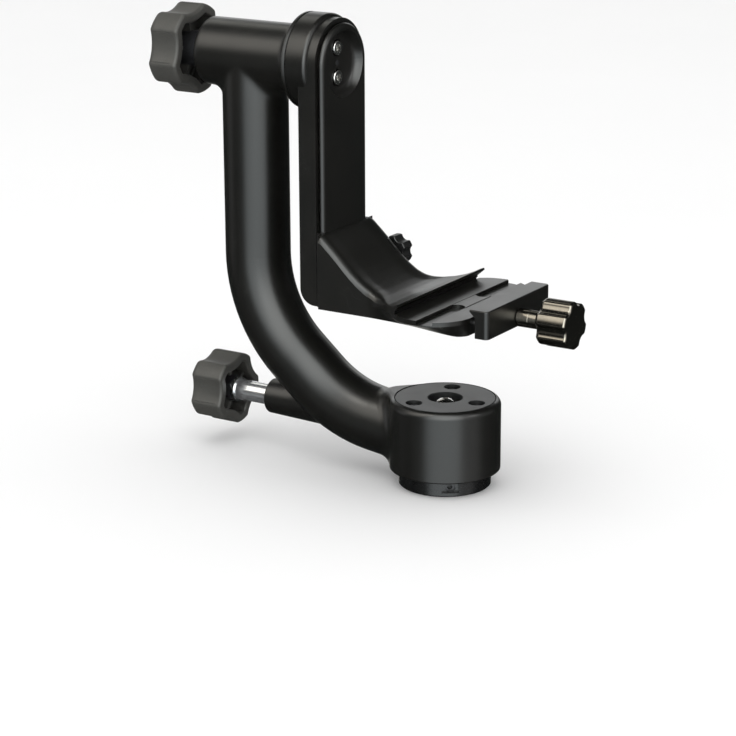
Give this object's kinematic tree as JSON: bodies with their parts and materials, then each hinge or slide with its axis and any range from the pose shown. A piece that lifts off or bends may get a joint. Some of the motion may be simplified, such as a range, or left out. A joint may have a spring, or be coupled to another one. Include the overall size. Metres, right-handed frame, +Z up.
{
  "type": "gimbal tripod head",
  "caption": "Side-mount gimbal head: tubular arm on a panning base, swing arm tilting about a horizontal shaft, height-adjustable platform and screw-driven dovetail lens clamp with lobed knobs.",
  "frame": {"origin": "centre of the base's underside, on the pan axis, at the mouth of the tripod thread", "axes": "+Z up along the pan axis; +X along the tilt axis, from the main arm towards the lens clamp; +Y along the clamp's channel, the lens's direction when level"},
  "size_m": [0.268, 0.1032, 0.2623],
  "materials": {
    "black_anodised": "black anodised, satin",
    "bright_steel": "polished",
    "bare_steel": "ground",
    "black_steel": "black oxide",
    "black_satin": "satin black coat on aluminium",
    "cap_grey": "satin black coat on turned aluminium",
    "brass": "turned",
    "chrome_steel": "polished",
    "white_nylon": "natural",
    "knob_rubber": "moulded, matt",
    "dark_metal": "dark zinc",
    "silver_collar": "bright",
    "bronze_bush": "sintered",
    "dark_fibre": "matt",
    "height_knob_black": "moulded",
    "knob_metal": "dark anodised, glossy"
  },
  "bodies": {
    "base": {"base_plate": "black_anodised", "base_set_screws": "black_steel", "pan_spindle": "bare_steel", "base_flange_screws": "black_steel", "pan_bearing_inner_races": "bare_steel", "pan_bearing_balls": "bare_steel", "pan_retaining_washer": "black_steel", "pan_retaining_bolt": "bright_steel"},
    "pan": {"main_arm": "black_satin", "top_cap": "cap_grey", "cap_screws": "black_steel", "pan_bearing_outer_races": "bare_steel", "pan_lock_bush": "brass", "tilt_bushes": "bronze_bush"},
    "pan_brake": {"pan_lock_rod": "chrome_steel", "pan_brake_shoe": "white_nylon"},
    "pan_lock_knob": {"pan_knob": "knob_rubber", "pan_knob_insert": "dark_metal", "pan_knob_collar": "silver_collar"},
    "swing": {"swing_arm": "black_satin", "swing_arm_screws": "bright_steel", "hub_dowel_pin": "black_steel", "tilt_shaft": "bare_steel", "tilt_friction_washer": "dark_fibre"},
    "tilt_brake": {"tilt_thrust_washer": "dark_metal"},
    "tilt_lock_knob": {"tilt_knob": "knob_rubber", "tilt_knob_insert": "dark_metal"},
    "platform": {"platform": "black_satin", "height_clamp_pins": "bare_steel", "clamp_guide_pins": "bare_steel"},
    "height_clamp": {"height_clamp_jaw": "black_satin"},
    "height_clamp_knob": {"height_knob": "height_knob_black", "height_clamp_screw": "bare_steel"},
    "jaw": {"clamp_jaw": "black_satin"},
    "jaw_knob": {"clamp_knob": "knob_metal", "clamp_screw": "bare_steel", "clamp_spacer": "knob_metal"}
  },
  "joints": [
    {"name": "pan_turn", "type": "hinge", "parent": "base", "child": "pan", "pos_m": [0, 0, 0], "axis": [0, 0, 1], "continuous": true},
    {"name": "pan_brake_slide", "type": "slide", "parent": "pan", "child": "pan_brake", "axis": [1, 0, 0], "range_m": [-0.00075, 0.00038]},
    {"name": "pan_lock_turn", "type": "hinge", "parent": "pan_brake", "child": "pan_lock_knob", "pos_m": [-0.15, 0, 0.0326], "axis": [1, 0, 0], "range_deg": [-180, 90]},
    {"name": "tilt_turn", "type": "hinge", "parent": "pan", "child": "swing", "pos_m": [-0.08, 0, 0.235], "axis": [1, 0, 0], "continuous": true},
    {"name": "tilt_brake_slide", "type": "slide", "parent": "swing", "child": "tilt_brake", "axis": [1, 0, 0], "range_m": [-0.0015, 0.00038]},
    {"name": "tilt_lock_turn", "type": "hinge", "parent": "tilt_brake", "child": "tilt_lock_knob", "pos_m": [-0.175, 0, 0.235], "axis": [1, 0, 0], "range_deg": [-360, 90]},
    {"name": "platform_height", "type": "slide", "parent": "swing", "child": "platform", "axis": [0, 0, 1], "range_m": [0, 0.06]},
    {"name": "height_clamp_slide", "type": "slide", "parent": "platform", "child": "height_clamp", "axis": [0, 1, 0], "range_m": [-0.000166, 0.00075]},
    {"name": "height_knob_turn", "type": "hinge", "parent": "height_clamp", "child": "height_clamp_knob", "pos_m": [-0.055, 0.038, 0.1215], "axis": [0, 1, 0], "range_deg": [-60, 270]},
    {"name": "jaw_slide", "type": "slide", "parent": "platform", "child": "jaw", "axis": [1, 0, 0], "range_m": [-0.00538, 0.00028]},
    {"name": "clamp_knob_turn", "type": "hinge", "parent": "jaw", "child": "jaw_knob", "pos_m": [0.07, 0, 0.1044], "axis": [1, 0, 0], "range_deg": [-1550, 80]}
  ],
  "couplings": [
    {"joint": "pan_lock_turn", "follows": "pan_brake_slide", "rad_per_m": 4188.8},
    {"joint": "tilt_lock_turn", "follows": "tilt_brake_slide", "rad_per_m": 4188.8},
    {"joint": "height_knob_turn", "follows": "height_clamp_slide", "rad_per_m": 6283.2},
    {"joint": "clamp_knob_turn", "follows": "jaw_slide", "rad_per_m": 5026.5}
  ]
}
